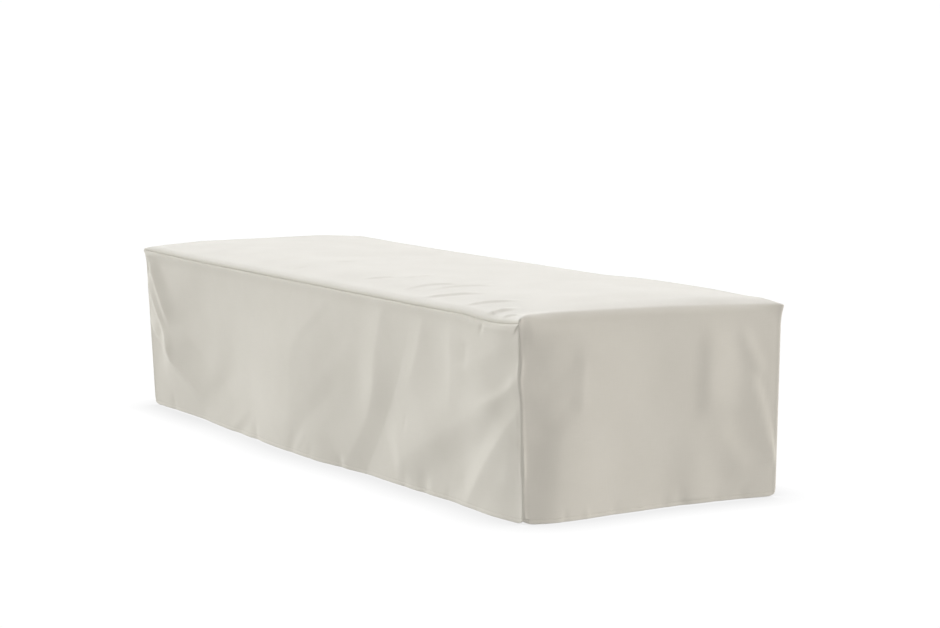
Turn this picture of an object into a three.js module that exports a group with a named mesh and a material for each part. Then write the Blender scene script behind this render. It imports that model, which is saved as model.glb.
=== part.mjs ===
// Fitted cover for a chaise lounge, drawn as it hangs over the furniture, which is left out.
// Three cut panels of outdoor canvas: a band that runs up one end, along the top and down the
// other end, and a long side panel sewn to each edge of it. Millimetres, Z up, the hem on the
// floor, X along the cover's length, the origin at the middle of its footprint.
import * as THREE from "three";

// Driving sizes
const CLOTH_THICKNESS = 1.5;
const SEAM_GAP = 1; // between two panels that are sewn together, edge to edge
const CROWN_RISE = 10; // how far the top swells between its edges
const CROWN_RUN = 180;

// The top rolls over beside the long seams. The ends only stand a little proud of the corner seams.
const TOP_ROLL = { rise: 16, run: 22 };
const END_ROLL = { rise: 3, run: 22 };

// The fold between the top and an end isn't sewn: it is sharp at the seams and soft between them.
const FOLD_OVER = { radiusAtSeam: 5, radiusMidway: 14, run: 110 };

// The top's edge over each end stands above the sewn corners. Behind it the top swells to its
// full height.
const END_EDGES = table(
  ["end", "riseFront", "riseBack", "run", "swell"],
  [
    ["far", 15, 17, 130, 60],
    ["near", 18.5, 5, 34, 70],
  ],
);
const EDGE_TILT = 1.15; // its upper side is higher than its face, so that it slopes into the top
const END_STRETCH = 150; // how far down an end its cloth is drawn up with that edge

// How far in from a seam the cloth still follows it, and the width over which folds fade out.
const SEAM_REACH = 120;
const SEAM_HOLD = 16;

// The sewn corners and the hem below each. The cover is a little wider above than at the hem.
const CORNERS = table(
  ["end", "side", "top", "hem"],
  [
    ["far", "front", [-1074, -362, 466], [-1057, -345, 3]],
    ["near", "front", [1049, -372, 468], [1043, -356, 2]],
    ["near", "back", [1072, 362, 468], [1066, 357, 3]],
    ["far", "back", [-1072, 359, 466], [-1056, 350, 0]],
  ],
);

// Waves of the seams and hems: where along the edge, how far each way, outward and upward.
// A plateau of 2 is a round bow, and of 6 a flat one with short ends.
const EDGE_WAVES = table(
  ["edge", "at", "reach", "out", "up", "plateau"],
  [
    ["frontSeam", -15, 1050, 0, -4, 6],
    ["frontSeam", 940, 150, 1, -7, 2],
    ["backSeam", 0, 1050, 0, -4, 6],
    ["backSeam", 640, 330, 0, 7, 3],
    ["frontHem", -95, 400, 26, 0, 3],
    ["frontHem", 420, 320, 7, 0, 4],
    ["frontHem", 905, 130, 9, 0, 2],
    ["backHem", 200, 700, 29, 0, 2],
    ["nearTop", -60, 310, 9, 0, 4],
    ["nearHem", 130, 220, -12, 0, 3],
    ["farHem", 0, 350, -9, 0, 6],
    ["nearFrontCorner", 335, 50, 4, 0, 2],
  ],
);

// Ridges and troughs. Each runs along a curve through the panel, from its start past a middle
// point to its end, and each flank falls away over its own width, left or right of that way.
// Sides are measured as (x, z), ends as (y, z) and the top as (x, y). A crest of 1 is a crease
// and of 2 a round swell. Ease is the share of the curve over which the fold grows and dies.
const FOLDS = table(
  ["panel", "start", "middle", "end", "rise", "left", "right", "crest", "ease"],
  [
    ["front", [-840, 400], [-740, 220], [-690, 0], -8, 330, 330, 1.7, [0.35, 0]],
    ["front", [-80, 460], [-83, 230], [-78, -60], 14, 540, 400, 1.3, [0.45, 0.3]],
    ["front", [228, 354], [122, 284], [22, 246], -1.2, 40, 50, 1.6, [0.3, 0.4]],
    ["front", [218, 246], [72, 148], [-138, 0], -1.8, 60, 60, 1.6, [0.25, 0.2]],
    ["front", [105, 110], [92, 50], [84, -30], 5, 120, 130, 1.8, [0.6, 0]],
    ["front", [425, 455], [350, 340], [362, 240], 4, 100, 110, 1.3, [0.15, 0]],
    ["front", [362, 240], [310, 110], [182, 0], 5, 105, 120, 1.3, [0, 0.1]],
    ["front", [540, 430], [465, 205], [288, 0], -3, 120, 90, 1.05, [0.4, 0.05]],
    ["front", [612, 455], [590, 330], [490, 225], 2.5, 80, 60, 1.3, [0.2, 0.5]],
    ["front", [740, 450], [738, 330], [730, 190], 2.5, 65, 90, 1.2, [0.25, 0.3]],
    ["front", [1045, 440], [900, 368], [700, 318], 6, 85, 150, 1.6, [0.3, 0.25]],
    ["front", [1050, 352], [985, 282], [840, 246], 3.5, 60, 28, 1.4, [0.25, 0.4]],
    ["front", [1010, 298], [694, 185], [440, 40], 8, 85, 140, 1.7, [0.2, 0.12]],
    ["front", [1056, 284], [885, 112], [752, -34], 4.5, 60, 56, 1.4, [0.14, 0.1]],
    ["front", [1020, 228], [985, 160], [975, 40], 5, 75, 110, 1.6, [0.25, 0.25]],
    ["front", [-1090, 505], [-1000, 392], [-890, 226], 10, 70, 27, 1.2, [0.3, 0.3]],
    ["front", [-1075, 372], [-962, 276], [-850, 138], 8, 36, 26, 1.2, [0.3, 0.2]],
    ["front", [-1070, 268], [-900, 158], [-620, 42], 13, 110, 32, 1.3, [0.2, 0.5]],
    ["front", [-1060, 410], [-930, 290], [-760, 175], 6, 80, 130, 2, [0.1, 0.3]],
    ["front", [-980, 225], [-770, 120], [-390, -40], 12, 100, 150, 2, [0.2, 0]],
    ["front", [-840, 290], [-800, 190], [-730, 60], 5, 140, 300, 2, [0.5, 0.5]],
    ["front", [-700, 230], [-650, 130], [-590, 30], 6, 150, 400, 2, [0.5, 0.5]],
    ["front", [-540, 150], [-500, 80], [-440, -10], 6, 150, 400, 2, [0.5, 0.2]],
    ["nearEnd", [-205, 450], [-208, 330], [-215, 150], 9, 230, 165, 1.8, [0.3, 0.5]],
    ["nearEnd", [-285, 465], [-287, 330], [-285, 150], 8, 260, 100, 1.8, [0.15, 0.5]],
    ["nearEnd", [-250, 340], [-264, 150], [-272, 0], 18, 200, 98, 1.9, [0.5, 0]],
    ["nearEnd", [-345, 470], [-342, 430], [-330, 380], 3, 60, 26, 1.4, [0.1, 0.6]],
    ["nearEnd", [-208, 415], [-262, 335], [-340, 300], -3.4, 44, 50, 1.6, [0.3, 0.3]],
    ["nearEnd", [-222, 315], [-275, 240], [-340, 190], -3.4, 44, 50, 1.6, [0.3, 0.3]],
    ["nearEnd", [158, 440], [156, 310], [158, 190], 7, 105, 50, 1.6, [0.3, 0.3]],
    ["nearEnd", [165, 215], [215, 120], [290, 50], 4, 60, 70, 1.6, [0.3, 0.3]],
    ["nearEnd", [235, 425], [278, 365], [315, 290], 4, 30, 45, 1.3, [0.3, 0.3]],
    ["nearEnd", [272, 330], [318, 220], [354, 75], 4.5, 18, 90, 1.15, [0.25, 0.1]],
    ["nearEnd", [130, 200], [125, 110], [115, 0], 4, 90, 90, 1.6, [0.4, 0.1]],
    ["farEnd", [-250, 430], [-150, 260], [-40, 0], 8, 90, 70, 1.3, [0.2, 0]],
    ["farEnd", [300, 400], [230, 220], [180, 0], 9, 80, 110, 1.4, [0.2, 0]],
    ["farEnd", [60, 430], [70, 300], [40, 120], -5, 60, 60, 1.6, [0.3, 0.3]],
    ["back", [1040, 420], [930, 260], [740, 0], 8, 120, 70, 1.3, [0.1, 0.1]],
    ["back", [700, 440], [640, 280], [560, 0], 6, 90, 120, 1.5, [0.3, 0.1]],
    ["back", [330, 430], [300, 260], [250, 30], 8, 240, 160, 1.6, [0.3, 0.2]],
    ["back", [-140, 440], [-190, 260], [-300, 0], 7, 150, 110, 1.3, [0.2, 0.1]],
    ["back", [-560, 430], [-620, 240], [-760, 0], 7, 130, 100, 1.4, [0.3, 0.1]],
    ["back", [-1055, 430], [-960, 250], [-800, 60], 6, 40, 130, 1.2, [0.1, 0.3]],
    ["top", [-420, -240], [-300, 0], [-330, 220], -3, 160, 160, 1.8, [0.3, 0.3]],
    ["top", [880, -300], [890, 0], [860, 260], 6, 300, 170, 1.7, [0.35, 0.35]],
  ],
);

// Mesh steps: up each end, round each fold-over, and along the top in five stretches, finer
// where the folds are close together and beside the ends.
const FACE_STEPS = 10;
const FOLD_OVER_STEPS = 2;
const TOP_STRETCHES = table(
  ["to", "steps"],
  [
    [0.02, 2],
    [0.14, 5],
    [0.6, 14],
    [0.9, 20],
    [1, 9],
  ],
);
const EDGE_COLUMNS = [0, 7, 24]; // first columns of the band, measured in from each long seam
const MIDDLE_COLUMNS = 11;
const CURVE_STEPS = 18; // pieces of a fold's curve

const X = new THREE.Vector3(1, 0, 0);
const Y = new THREE.Vector3(0, 1, 0);
const Z = new THREE.Vector3(0, 0, 1);

function table(columns, rows) {
  return rows.map((row) => Object.fromEntries(columns.map((name, i) => [name, row[i]])));
}

function mix(a, b, t) {
  return a + (b - a) * t;
}

function clip(t) {
  return Math.min(Math.max(t, 0), 1);
}

function soften(t) {
  const s = clip(t);
  return s * s * (3 - 2 * s);
}

// A quarter of an ellipse: upright where it starts and level where it ends.
function quarterRound(t) {
  return Math.sqrt(1 - (1 - clip(t)) ** 2);
}

// A bell of height 1 that is steeper towards its edge the flatter its plateau is.
function bell(distance, plateau) {
  return Math.max(0, 1 - Math.abs(distance) ** plateau) ** 2;
}

function corner(end, side, height) {
  const row = CORNERS.find((each) => each.end === end && each.side === side);
  return new THREE.Vector3(...row[height]);
}

const BAND_WIDTH = corner("near", "back", "top").y - corner("near", "front", "top").y;
const TOP_LENGTH = corner("near", "front", "top").x - corner("far", "front", "top").x;
const END_HEIGHT = corner("near", "front", "top").z;

function edgeShift(edge, at) {
  const shift = { out: 0, up: 0 };
  for (const wave of EDGE_WAVES) {
    if (wave.edge !== edge) continue;
    const share = bell((at - wave.at) / wave.reach, wave.plateau);
    shift.out += wave.out * share;
    shift.up += wave.up * share;
  }
  return shift;
}

// The curve of each fold, cut into straight pieces.
for (const fold of FOLDS) {
  const [start, middle, end] = [fold.start, fold.middle, fold.end].map(
    (point) => new THREE.Vector2(...point),
  );
  fold.path = new THREE.QuadraticBezierCurve(start, middle, end).getPoints(CURVE_STEPS);
}

// Nearest point of a fold's curve: the distance, the share of the curve, and the side it is on.
function nearestOnFold(fold, u, v) {
  const nearest = { distance: Infinity, along: 0, onLeft: false };
  for (let i = 0; i < CURVE_STEPS; i++) {
    const a = fold.path[i];
    const b = fold.path[i + 1];
    const du = b.x - a.x;
    const dv = b.y - a.y;
    const pu = u - a.x;
    const pv = v - a.y;
    const t = clip((pu * du + pv * dv) / (du * du + dv * dv));
    const distance = Math.hypot(pu - t * du, pv - t * dv);
    if (distance >= nearest.distance) continue;
    nearest.distance = distance;
    nearest.along = (i + t) / CURVE_STEPS;
    nearest.onLeft = du * pv - dv * pu > 0;
  }
  return nearest;
}

function grown(share, run) {
  return run > 0 ? soften(share / run) : 1;
}

// How far the folds of a panel stand out of it at one place.
function foldRise(panel, u, v) {
  let rise = 0;
  for (const fold of FOLDS) {
    if (fold.panel !== panel) continue;
    const near = nearestOnFold(fold, u, v);
    const width = near.onLeft ? fold.left : fold.right;
    const flank = bell(near.distance / width, fold.crest);
    const [easeIn, easeOut] = fold.ease;
    rise += fold.rise * flank * grown(near.along, easeIn) * grown(1 - near.along, easeOut);
  }
  return rise;
}

// The ends' top and hem lines at a share of the band's width, with their waves.
function bandLine(end, height, across) {
  const line = corner(end, "front", height).lerp(corner(end, "back", height), across);
  const shift = edgeShift(end + (height === "top" ? "Top" : "Hem"), line.y);
  const outward = end === "far" ? -1 : 1;
  return line.addScaledVector(X, outward * shift.out).addScaledVector(Z, shift.up);
}

// A place along the band's length: the far end going up, the far fold-over, the top, the near
// fold-over and the near end going down, each with a share from 0 to 1. It gives the place on
// the plain strip and the way that faces out of it.
function stripPlace(stretch, share, across, radius) {
  const end = stretch.startsWith("far") ? "far" : "near";
  const outward = end === "far" ? -1 : 1;
  const top = bandLine(end, "top", across);
  if (stretch === "top") {
    const from = bandLine("far", "top", across).addScaledVector(X, radius);
    return { place: from.lerp(top.addScaledVector(X, -radius), share), out: Z.clone() };
  }
  const rising = end === "far" ? share : 1 - share;
  const under = Z.clone().multiplyScalar(-radius);
  if (stretch.endsWith("End")) {
    const place = bandLine(end, "hem", across).lerp(top.add(under), rising);
    return { place, out: X.clone().multiplyScalar(outward) };
  }
  const turn = (rising * Math.PI) / 2;
  const out = new THREE.Vector3(outward * Math.cos(turn), 0, Math.sin(turn));
  const centre = top.add(under).addScaledVector(X, -outward * radius);
  return { place: centre.addScaledVector(out, radius), out };
}

// How far the top's edge over an end stands above the line between its sewn corners.
function endEdgeRise(edge, across, fromSeam) {
  return mix(edge.riseFront, edge.riseBack, across ** 3) * quarterRound(fromSeam / edge.run);
}

// How far the roll and the crown raise the cloth.
function topLift(stretch, share, across, fromSeam) {
  const far = stretch === "top" ? share < 0.5 : stretch.startsWith("far");
  const edge = END_EDGES.find((row) => row.end === (far ? "far" : "near"));
  const rise = endEdgeRise(edge, across, fromSeam);
  const here = far ? share : 1 - share;
  if (stretch === "top") {
    const roll = TOP_ROLL.rise * quarterRound(fromSeam / TOP_ROLL.run);
    const crown = CROWN_RISE * soften(fromSeam / CROWN_RUN);
    const swell = quarterRound((here * TOP_LENGTH) / edge.swell) ** 2;
    return mix(rise * EDGE_TILT, roll + crown, swell);
  }
  if (stretch.endsWith("Fold")) return rise * mix(EDGE_TILT, 1, Math.cos((here * Math.PI) / 2));
  return rise * (1 - soften(((1 - here) * END_HEIGHT) / END_STRETCH));
}

// The outer face of the band. The corner's own wave is left out for the side panel's plain edges.
function bandPlace({ stretch, share }, across, cornerWaves = true) {
  const fromSeam = Math.min(across, 1 - across) * BAND_WIDTH;
  const softFold = soften(fromSeam / FOLD_OVER.run);
  const radius = mix(FOLD_OVER.radiusAtSeam, FOLD_OVER.radiusMidway, softFold);
  const { place, out } = stripPlace(stretch, share, across, radius);
  const level = out.z;

  const side = across < 0.5 ? "front" : "back";
  const outward = across < 0.5 ? -1 : 1;
  const follow = 1 - soften(fromSeam / SEAM_REACH);
  const seamWave = edgeShift(side + "Seam", place.x);
  if (stretch === "nearEnd" && side === "front" && cornerWaves) {
    place.addScaledVector(Y, outward * edgeShift("nearFrontCorner", place.z).out * follow);
  }
  place.addScaledVector(Y, outward * seamWave.out * follow * level);
  place.addScaledVector(Z, seamWave.up * follow * level);

  const proud = END_ROLL.rise * quarterRound(fromSeam / END_ROLL.run) * (1 - level);
  const end = place.x < 0 ? "farEnd" : "nearEnd";
  const folds =
    foldRise("top", place.x, place.y) * level + foldRise(end, place.y, place.z) * (1 - level);
  const lift = topLift(stretch, share, across, fromSeam);
  return place
    .addScaledVector(out, proud + folds * soften(fromSeam / SEAM_HOLD))
    .addScaledVector(Z, lift);
}

// Steps along the band's length. The two side panels share them.
function bandSteps() {
  const even = (stretch, steps) =>
    Array.from({ length: steps + 1 }, (_, i) => ({ stretch, share: i / steps }));
  const top = [{ stretch: "top", share: 0 }];
  let from = 0;
  for (const { to, steps } of TOP_STRETCHES) {
    for (let i = 1; i <= steps; i++) top.push({ stretch: "top", share: mix(from, to, i / steps) });
    from = to;
  }
  return [
    ...even("farEnd", FACE_STEPS),
    ...even("farFold", FOLD_OVER_STEPS).slice(1),
    ...top.slice(1),
    ...even("nearFold", FOLD_OVER_STEPS).slice(1),
    ...even("nearEnd", FACE_STEPS).slice(1),
  ];
}

function bandColumns() {
  const edge = EDGE_COLUMNS.map((distance) => distance / BAND_WIDTH);
  const inner = edge[edge.length - 1];
  const middle = Array.from({ length: MIDDLE_COLUMNS - 1 }, (_, i) =>
    mix(inner, 1 - inner, (i + 1) / MIDDLE_COLUMNS),
  );
  return [...edge, ...middle, ...edge.map((share) => 1 - share).reverse()];
}

// Shares of the whole length at each point of a line.
function lengthShares(points) {
  const sums = [0];
  for (let i = 1; i < points.length; i++) {
    sums.push(sums[i - 1] + points[i].distanceTo(points[i - 1]));
  }
  return sums.map((sum) => sum / sums[sums.length - 1]);
}

// The outer face of a side panel: a sheet stretched between its hem and the three stretches of
// seam that it shares with the band, with its folds standing out of it.
function sideGrid(side, seam) {
  const outward = side === "front" ? -1 : 1;
  const rows = FACE_STEPS + FOLD_OVER_STEPS / 2;
  const farSeam = seam.slice(0, rows + 1);
  const nearSeam = seam.slice(seam.length - rows - 1).reverse();
  const longSeam = seam.slice(rows, seam.length - rows);
  const upShares = lengthShares(farSeam);
  const alongShares = lengthShares(longSeam);
  const length = longSeam[0].distanceTo(longSeam[longSeam.length - 1]);
  const height = farSeam[0].distanceTo(farSeam[rows]);
  const hem = alongShares.map((s) => {
    const point = farSeam[0].clone().lerp(nearSeam[0], s);
    const wave = edgeShift(side + "Hem", point.x);
    return point.addScaledVector(Y, outward * wave.out).addScaledVector(Z, wave.up);
  });
  return upShares.map((t, row) =>
    alongShares.map((s, column) => {
      const upright = hem[column].clone().lerp(longSeam[column], t);
      const level = farSeam[row].clone().lerp(nearSeam[row], s);
      const flatBelow = farSeam[0].clone().lerp(nearSeam[0], s);
      const flatAbove = farSeam[rows].clone().lerp(nearSeam[rows], s);
      const place = upright.add(level).sub(flatBelow.lerp(flatAbove, t));
      const fromSeam = Math.min((1 - t) * height, Math.min(s, 1 - s) * length);
      const folds = foldRise(side, place.x, place.z) * soften(fromSeam / SEAM_HOLD);
      const follow = side === "front" ? 1 - soften(((1 - s) * length) / SEAM_REACH) : 0;
      const wave = edgeShift("nearFrontCorner", place.z).out * follow;
      return place.addScaledVector(Y, outward * (folds + wave));
    }),
  );
}

// The way a grid faces at each of its points.
function gridNormals(grid, flip) {
  const rows = grid.length - 1;
  const columns = grid[0].length - 1;
  return grid.map((line, r) =>
    line.map((_, c) => {
      const up = grid[Math.min(r + 1, rows)][c].clone().sub(grid[Math.max(r - 1, 0)][c]);
      const along = line[Math.min(c + 1, columns)].clone().sub(line[Math.max(c - 1, 0)]);
      return along.cross(up).normalize().multiplyScalar(flip ? -1 : 1);
    }),
  );
}

// From the outer to the inner face. Where two panels meet, both use the line that halves the
// angle between them, so that their cut edges lie side by side.
function inwardStep(normal, other) {
  const step = normal.clone().multiplyScalar(-CLOTH_THICKNESS);
  if (!other) return step;
  return step
    .addScaledVector(other, -CLOTH_THICKNESS)
    .divideScalar(1 + Math.max(normal.dot(other), -0.4));
}

// Draws an edge point back from the seam, towards the panel's own inside.
function drawBack(point, inside) {
  const step = inside.clone().sub(point).setLength(SEAM_GAP / 2);
  return point.clone().add(step);
}

// A closed sheet from its outer and inner grids.
function sheetGeometry(outer, inner, flip) {
  const columns = outer[0].length;
  const points = [...outer.flat(), ...inner.flat()];
  const half = outer.flat().length;
  const index = [];
  const quad = (a, b, c, d) => index.push(...(flip ? [a, c, b, a, d, c] : [a, b, c, a, c, d]));
  for (let r = 0; r + 1 < outer.length; r++) {
    for (let c = 0; c + 1 < columns; c++) {
      const i = r * columns + c;
      quad(i, i + 1, i + 1 + columns, i + columns);
      quad(half + i, half + i + columns, half + i + 1 + columns, half + i + 1);
    }
  }
  const last = (outer.length - 1) * columns;
  for (let c = 0; c + 1 < columns; c++) {
    quad(half + c, half + c + 1, c + 1, c);
    quad(last + c, last + c + 1, half + last + c + 1, half + last + c);
  }
  for (let r = 0; r + 1 < outer.length; r++) {
    const i = r * columns;
    const k = i + columns - 1;
    quad(i, i + columns, half + i + columns, half + i);
    quad(half + k, half + k + columns, k + columns, k);
  }
  const geometry = new THREE.BufferGeometry();
  const positions = points.flatMap((point) => point.toArray());
  geometry.setAttribute("position", new THREE.Float32BufferAttribute(positions, 3));
  geometry.setIndex(index);
  geometry.computeVertexNormals();
  return geometry;
}

const canvas = new THREE.MeshStandardMaterial({ color: 0xe4e1d8, roughness: 0.92, metalness: 0 });
canvas.name = "canvas";

// The band
const steps = bandSteps();
const columns = bandColumns();
const bandOuter = steps.map((step) => columns.map((across) => bandPlace(step, across)));
const bandNormals = gridNormals(bandOuter, true);
const lastColumn = columns.length - 1;

// Each side panel, with its normals, and the seam point of the band that each edge point shares
function sidePanel(side) {
  const column = side === "front" ? 0 : lastColumn;
  const seam = steps.map((step) => bandPlace(step, columns[column], false));
  const outer = sideGrid(side, seam);
  const normals = gridNormals(outer, side === "back");
  return { side, column, outer, normals, rows: outer.length - 1, ends: outer[0].length - 1 };
}
const panels = [sidePanel("front"), sidePanel("back")];

// The band's step that a side panel's edge point is sewn to, or -1 inside the panel
function sewnStep(panel, r, c) {
  if (c === 0) return r;
  if (c === panel.ends) return steps.length - 1 - r;
  return r === panel.rows ? panel.rows + c : -1;
}

function sideMesh(panel) {
  const { outer, normals, rows, ends, column } = panel;
  const cut = outer.map((line, r) =>
    line.map((point, c) => {
      if (sewnStep(panel, r, c) < 0) return point;
      const insideRow = outer[r === rows ? r - 1 : r];
      const inside = c === 0 ? 1 : c === ends ? ends - 1 : c;
      return drawBack(point, insideRow[inside]);
    }),
  );
  const inner = cut.map((line, r) =>
    line.map((point, c) => {
      const step = sewnStep(panel, r, c);
      const other = step < 0 ? null : bandNormals[step][column];
      return point.clone().add(inwardStep(normals[r][c], other));
    }),
  );
  const mesh = new THREE.Mesh(sheetGeometry(cut, inner, panel.side === "back"), canvas.clone());
  mesh.name = "side_panel_" + panel.side;
  return mesh;
}

function bandMesh() {
  const sewn = [new Map(), new Map()];
  panels.forEach((panel, k) => {
    panel.outer.forEach((line, r) =>
      line.forEach((_, c) => {
        const step = sewnStep(panel, r, c);
        if (step >= 0) sewn[k].set(step, panel.normals[r][c]);
      }),
    );
  });
  const cut = bandOuter.map((line) =>
    line.map((point, c) => {
      if (c === 0) return drawBack(point, line[1]);
      return c === lastColumn ? drawBack(point, line[c - 1]) : point;
    }),
  );
  const inner = cut.map((line, r) =>
    line.map((point, c) => {
      const other = c === 0 ? sewn[0].get(r) : c === lastColumn ? sewn[1].get(r) : null;
      return point.clone().add(inwardStep(bandNormals[r][c], other));
    }),
  );
  const mesh = new THREE.Mesh(sheetGeometry(cut, inner, true), canvas.clone());
  mesh.name = "band_panel";
  return mesh;
}

const cover = new THREE.Group();
cover.name = "chaise_cover";
cover.add(bandMesh(), ...panels.map(sideMesh));

export default cover;
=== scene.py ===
"""Fitted canvas cover for a chaise lounge, hanging in its folds on a pale floor."""

import math

import bpy
import numpy as np
from bpy.props import EnumProperty, FloatProperty, FloatVectorProperty, PointerProperty
from bpy.types import Operator, Panel, PropertyGroup
from mathutils import Euler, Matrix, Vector


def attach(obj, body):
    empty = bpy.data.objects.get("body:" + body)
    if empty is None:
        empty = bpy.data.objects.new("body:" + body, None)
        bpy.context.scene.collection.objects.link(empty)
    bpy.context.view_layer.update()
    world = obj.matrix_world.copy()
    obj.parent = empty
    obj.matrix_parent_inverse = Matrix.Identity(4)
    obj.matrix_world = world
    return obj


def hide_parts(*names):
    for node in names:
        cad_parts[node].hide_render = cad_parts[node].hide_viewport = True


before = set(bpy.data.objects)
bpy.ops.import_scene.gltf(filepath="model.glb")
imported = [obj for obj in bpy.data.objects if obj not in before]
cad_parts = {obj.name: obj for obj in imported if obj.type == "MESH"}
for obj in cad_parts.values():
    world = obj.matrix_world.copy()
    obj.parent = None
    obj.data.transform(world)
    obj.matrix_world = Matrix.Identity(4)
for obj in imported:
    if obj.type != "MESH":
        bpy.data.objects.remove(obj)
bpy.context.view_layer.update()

bl_info = {
    "name": "Chaise cover",
    "version": (1, 0, 0),
    "blender": (4, 5, 0),
    "location": "View3D > Sidebar > Cover",
    "description": "Builds a fitted canvas cover for a chaise lounge with its seams, hems and folds",
    "category": "Add Mesh",
}

MM = 0.001  # the tables and the cloth are in millimetres, and the finished meshes in metres


def table(columns, *rows):
    return [dict(zip(columns, row)) for row in rows]


# The sewn corners and the hem below each. The cover is a little wider above than at the hem.
CORNERS = table(
    ("end", "side", "top", "hem"),
    ("far", "front", (-1074, -362, 466), (-1057, -345, 3)),
    ("near", "front", (1049, -372, 468), (1043, -356, 2)),
    ("near", "back", (1072, 362, 468), (1066, 357, 3)),
    ("far", "back", (-1072, 359, 466), (-1056, 350, 0)),
)

# Each sewn top corner runs out into a small ear, and the hem is rounded off below it: how far
# the cloth is drawn along the length, across and up, and how far from the corner that starts.
TIPS = table(
    ("height", "along", "across", "up", "reach"),
    ("top", 7, 3.5, 3, 46),
    ("hem", -2, -1, 7, 26),
)

# Waves of the seams and hems: where along the edge, how far each way, outward and upward.
# A plateau of 2 is a round bow, and of 6 a flat one with short ends.
EDGE_WAVES = table(
    ("edge", "at", "reach", "out", "up", "plateau"),
    ("frontSeam", -15, 1050, 0, -4, 6),
    ("frontSeam", 940, 150, 1, -7, 2),
    ("backSeam", 0, 1050, 0, -4, 6),
    ("backSeam", 640, 330, 0, 7, 3),
    ("frontHem", -95, 400, 26, 0, 3),
    ("frontHem", 420, 320, 7, 0, 4),
    ("frontHem", 905, 130, 9, 0, 2),
    ("backHem", 200, 700, 29, 0, 2),
    ("nearTop", -60, 310, 9, 0, 4),
    ("nearHem", 130, 220, -12, 0, 3),
    ("farHem", 0, 350, -9, 0, 6),
    ("nearFrontCorner", 335, 50, 4, 0, 2),
)

# Where a seam draws the cloth in deeper than elsewhere, or less, and how its lip stands there.
SEAM_CHANGES = table(
    ("seam", "at", "reach", "depth", "lip"),
    ("front", 980, 150, 0.2, 1),
    ("nearFront", 428, 58, 7, 0),
    ("nearFront", 250, 125, 0.2, 0.4),
    ("nearFront", 68, 56, 1.6, 0.3),
    ("nearFront", 0, 16, 0, 0.3),
)
CHANGE_PLATEAU = 4  # how flat each of these is, as with the waves

# Ridges and troughs. Each runs along a curve through the panel, from its start past a middle
# point to its end, and each flank falls away over its own width, left or right of that way.
# Sides are measured as (x, z), ends as (y, z) and the top as (x, y). A crest of 1 is a crease
# and of 2 a round swell. Ease is the share of the curve over which the fold grows or dies.
FOLD_COLUMNS = ("start", "middle", "end", "rise", "left", "right", "crest", "ease")


def fold_table(*rows):
    return table(FOLD_COLUMNS, *rows)


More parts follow.
